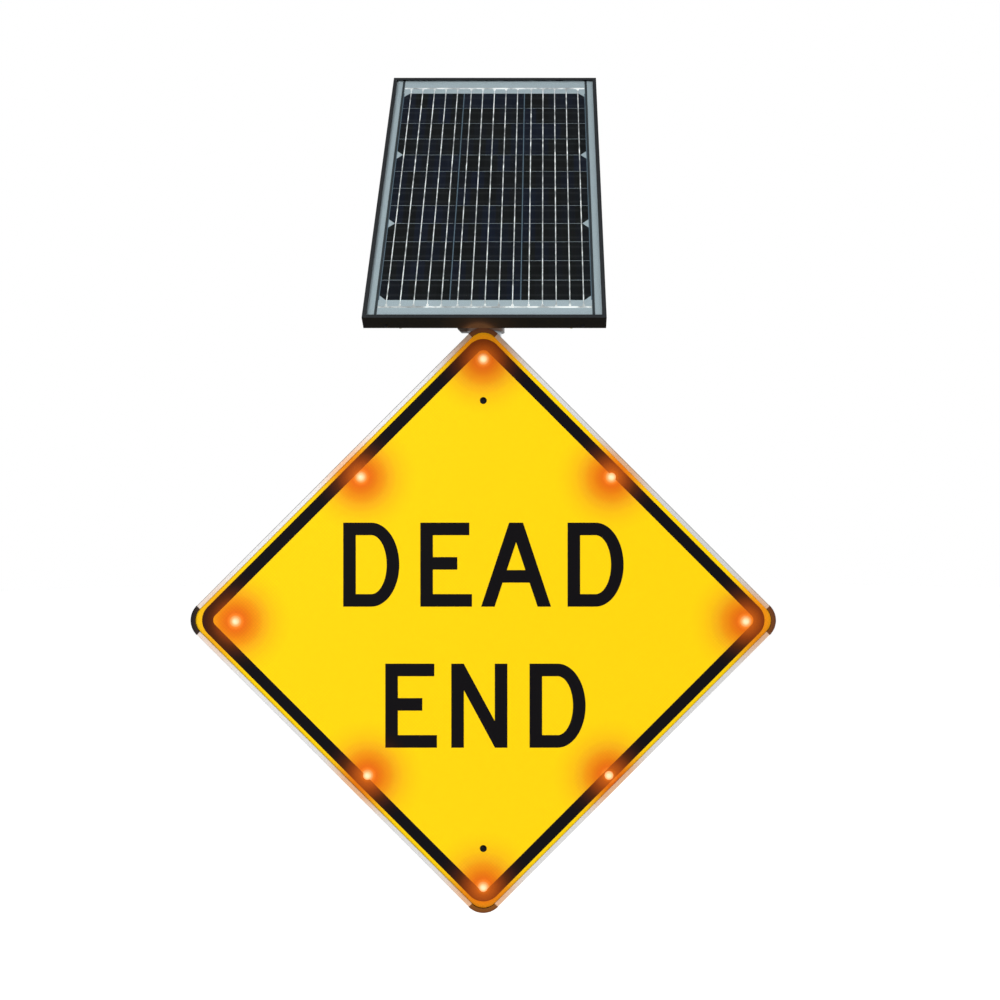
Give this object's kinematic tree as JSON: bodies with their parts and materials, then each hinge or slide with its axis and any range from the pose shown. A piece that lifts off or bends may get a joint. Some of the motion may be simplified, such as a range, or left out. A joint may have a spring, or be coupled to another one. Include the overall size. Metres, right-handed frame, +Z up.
{
  "type": "solar powered warning sign",
  "caption": "Yellow diamond warning sign with amber lamps around its border, on a mast with a swivelling, tilting solar panel above it and a control cabinet behind.",
  "frame": {"origin": "middle of the open lower end of the mast, on the mast's axis", "axes": "+Z up along the mast; the sign's face looks along -Y; +X is to the right of someone who faces the sign"},
  "size_m": [1.0704, 0.4451, 1.6266],
  "materials": {
    "galvanised_tube": "spangled galvanised",
    "face_aluminium": "mill finish",
    "back_aluminium": "mill finish",
    "yellow_sheeting": "retroreflective film",
    "black_film": "satin film",
    "edge_aluminium": "satin anodised",
    "cap_plastic": "moulded",
    "amber_lens": "clear moulded",
    "circuit_board": "solder resist",
    "lamp_nut_nylon": "moulded",
    "black_steel": "black oxide",
    "zinc_steel": "zinc plated",
    "galvanised_steel": "hot dip galvanised",
    "cabinet_paint": "powder coat",
    "head_coat": "satin black powder coat",
    "gasket_rubber": "sponge",
    "gland_nylon": "moulded",
    "battery_plastic": "moulded ABS",
    "controller_plastic": "moulded ABS",
    "terminal_plastic": "moulded nylon",
    "latch_chrome": "plated zinc",
    "frame_black": "black anodised",
    "key_aluminium": "extruded",
    "dark_steel": "black oxide",
    "solar_glass": "low iron, lightly textured",
    "backsheet_grey": "film",
    "silicon": "blue black antireflection coat",
    "tinned_copper": "tinned",
    "seal_black": "butyl strip",
    "junction_plastic": "moulded"
  },
  "bodies": {
    "post": {"mast": "galvanised_tube", "face_plate": "face_aluminium", "face_sheeting": "yellow_sheeting", "border_film": "black_film", "legend_film": "black_film", "edge_left_upper": "edge_aluminium", "edge_left_lower": "edge_aluminium", "edge_right_lower": "edge_aluminium", "edge_right_upper": "edge_aluminium", "corner_cap_top": "cap_plastic", "corner_cap_left": "cap_plastic", "corner_cap_bottom": "cap_plastic", "corner_cap_right": "cap_plastic", "rear_plate": "back_aluminium", "rear_screws": "zinc_steel", "lamp_lenses": "amber_lens", "lamp_nuts": "lamp_nut_nylon", "lamp_boards": "circuit_board", "sign_bolts": "black_steel", "bolt_spacers": "zinc_steel", "sign_brackets": "galvanised_steel", "cabinet_brackets": "galvanised_steel", "u_bolts": "zinc_steel", "bracket_nuts": "zinc_steel", "cabinet_case": "cabinet_paint", "cabinet_rim": "cabinet_paint", "hinge_pins": "zinc_steel", "mounting_plate": "zinc_steel", "plate_screws": "zinc_steel", "cabinet_bolts": "zinc_steel", "cable_glands": "gland_nylon", "battery": "battery_plastic", "charge_controller": "controller_plastic", "din_rail": "zinc_steel", "terminal_block": "terminal_plastic"},
    "door": {"cabinet_door": "cabinet_paint", "door_gasket": "gasket_rubber"},
    "latch": {"cam_latch": "latch_chrome"},
    "head": {"swivel_sleeve": "head_coat", "head_bolts": "black_steel", "head_nuts": "black_steel", "tilt_bolt": "black_steel", "tilt_nut": "black_steel"},
    "panel": {"panel_rail_bottom": "frame_black", "panel_rail_top": "frame_black", "panel_rail_left": "frame_black", "panel_rail_right": "frame_black", "corner_keys": "key_aluminium", "key_screws": "dark_steel", "panel_glass": "solar_glass", "backsheet": "backsheet_grey", "solar_cells": "silicon", "cell_ribbons": "tinned_copper", "edge_seals": "seal_black", "junction_box": "junction_plastic", "rear_tubes": "key_aluminium", "panel_bolts": "zinc_steel", "panel_nuts": "zinc_steel", "tilt_bracket": "head_coat"}
  },
  "joints": [
    {"name": "panel_swivel", "type": "hinge", "parent": "post", "child": "head", "pos_m": [0, 0, 1.08], "axis": [0, 0, 1], "range_deg": [-170, 170]},
    {"name": "panel_tilt", "type": "hinge", "parent": "head", "child": "panel", "pos_m": [0, 0, 1.168], "axis": [1, 0, 0], "range_deg": [-52, 15]},
    {"name": "cabinet_door", "type": "hinge", "parent": "post", "child": "door", "pos_m": [-0.1045, 0.1625, 0.44], "axis": [0, 0, 1], "range_deg": [0, 110]},
    {"name": "latch_turn", "type": "hinge", "parent": "door", "child": "latch", "pos_m": [0.078, 0.163, 0.44], "axis": [0, 1, 0], "range_deg": [0, 90]}
  ]
}
